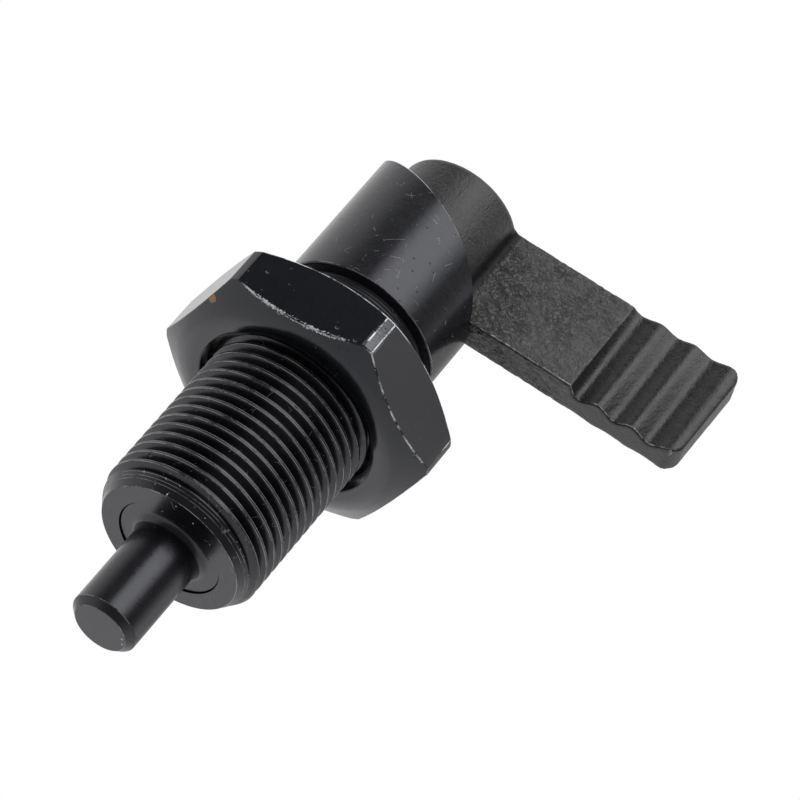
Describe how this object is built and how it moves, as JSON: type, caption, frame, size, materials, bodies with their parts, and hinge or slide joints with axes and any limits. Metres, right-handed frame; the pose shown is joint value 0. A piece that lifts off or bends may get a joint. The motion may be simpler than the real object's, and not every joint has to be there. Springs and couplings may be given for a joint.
{
  "type": "indexing plunger",
  "caption": "Cam-action indexing plunger: turning the lever climbs a ramp on the threaded sleeve and draws the pin back; a lock nut fixes it in a tapped plate.",
  "frame": {"origin": "on the axis, in the plane of the lock nut's front face, where the plate that the sleeve is screwed into bears on the nut", "axes": "+Z along the axis towards the pin's nose, +X along the lever arm at rest"},
  "size_m": [0.0543, 0.0318, 0.071],
  "materials": {
    "sleeve_steel": "black oxide, semi-gloss, turned",
    "pin_steel": "black oxide, satin, ground",
    "nut_steel": "black oxide, satin, worn at the corners",
    "lever_casting": "black, matt, as cast",
    "spring_steel": "drawn spring steel, oiled"
  },
  "bodies": {
    "sleeve": {"threaded_body": "sleeve_steel"},
    "spring": {"compression_spring": "spring_steel"},
    "plunger": {"plunger_pin": "pin_steel", "lever": "lever_casting", "cross_pin": "spring_steel"},
    "nut": {"lock_nut": "nut_steel"}
  },
  "joints": [
    {"name": "pin_slide", "type": "slide", "parent": "sleeve", "child": "spring", "axis": [0, 0, -1], "range_m": [0, 0.0135], "deforming": ["compression_spring"]},
    {"name": "lever_turn", "type": "hinge", "parent": "spring", "child": "plunger", "pos_m": [0, 0, 0], "axis": [0, 0, 1], "range_deg": [0, 168], "stiffness_Nm_per_rad": 0.063, "springref_deg": -50.08},
    {"name": "nut_travel", "type": "slide", "parent": "sleeve", "child": "nut", "axis": [0, 0, 1], "range_m": [-0.0048, 0.02]}
  ],
  "couplings": [
    {"joint": "pin_slide", "follows": "lever_turn", "m_per_rad": 0.0045773}
  ]
}
